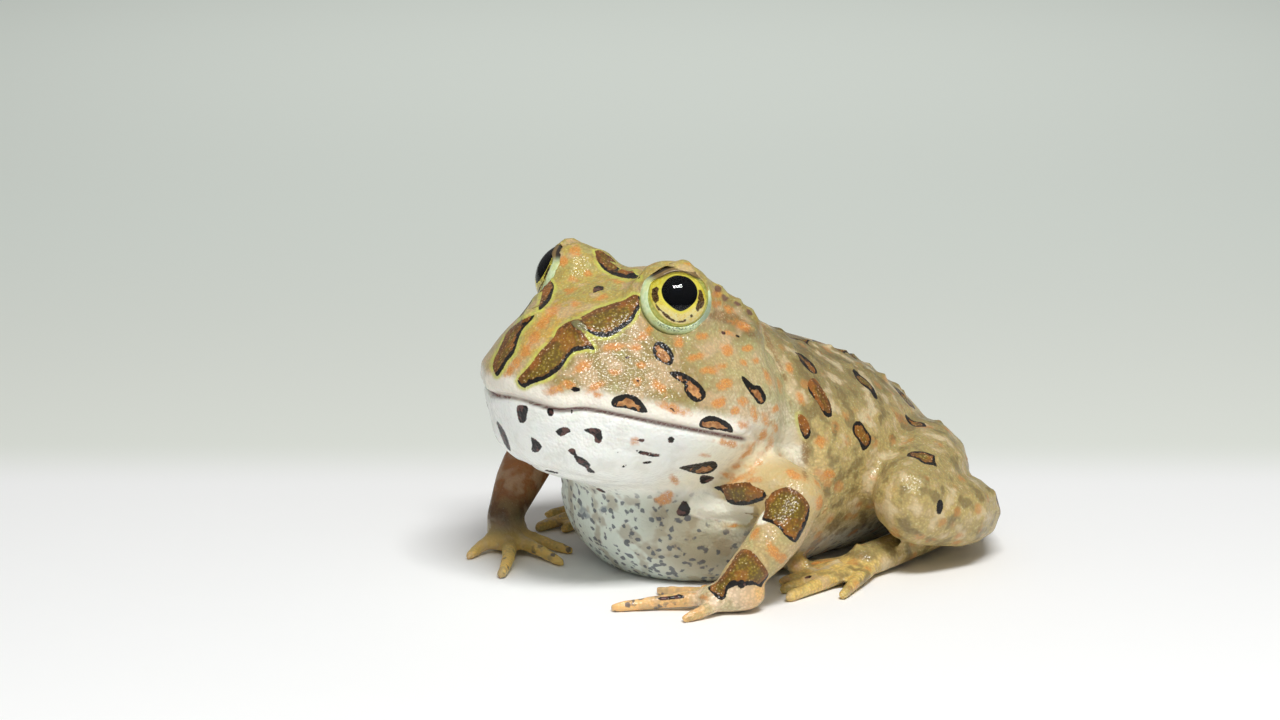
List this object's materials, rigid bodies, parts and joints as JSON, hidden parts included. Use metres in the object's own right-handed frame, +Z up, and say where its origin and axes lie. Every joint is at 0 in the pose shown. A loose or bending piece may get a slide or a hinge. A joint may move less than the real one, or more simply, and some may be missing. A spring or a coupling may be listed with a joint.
{
  "type": "argentine horned frog",
  "caption": "Still, life-size model of a half-grown horned frog that squats with its mouth shut, a wide head, raised eyes and small eyelid horns.",
  "frame": {"origin": "middle of the footprint, on the floor that the belly, hands and feet rest on", "axes": "+Y towards the rump, so the frog looks along -Y; +X to the frog's own left; +Z up"},
  "size_m": [0.0594, 0.0674, 0.0414],
  "materials": {
    "head_skin": "moist, finely grained skin",
    "pale_skin": "moist, smooth white skin",
    "back_skin": "moist skin with small warts",
    "limb_skin": "moist, finely grained skin",
    "lid_skin": "moist, thin skin",
    "horn_skin": "moist skin",
    "eye": "wet, clear and glossy"
  },
  "bodies": {
    "root": {"head": "head_skin", "lower_jaw": "pale_skin", "torso": "back_skin", "eye_left": "eye", "eye_right": "eye", "upper_eyelid_left": "lid_skin", "upper_eyelid_right": "lid_skin", "eyelid_horn_left": "horn_skin", "eyelid_horn_right": "horn_skin", "eardrum_left": "head_skin", "eardrum_right": "head_skin", "upper_arm_left": "limb_skin", "upper_arm_right": "limb_skin", "forearm_left": "limb_skin", "forearm_right": "limb_skin", "hand_left": "limb_skin", "hand_right": "limb_skin", "finger_left_1": "limb_skin", "finger_left_2": "limb_skin", "finger_left_3": "limb_skin", "finger_left_4": "limb_skin", "finger_right_1": "limb_skin", "finger_right_2": "limb_skin", "finger_right_3": "limb_skin", "finger_right_4": "limb_skin", "thigh_left": "back_skin", "thigh_right": "back_skin", "shank_left": "back_skin", "shank_right": "back_skin", "foot_left": "limb_skin", "foot_right": "limb_skin", "toe_left_1": "limb_skin", "toe_left_2": "limb_skin", "toe_left_3": "limb_skin", "toe_left_4": "limb_skin", "toe_left_5": "limb_skin", "toe_right_1": "limb_skin", "toe_right_2": "limb_skin", "toe_right_3": "limb_skin", "toe_right_4": "limb_skin", "toe_right_5": "limb_skin"}
  },
  "joints": []
}
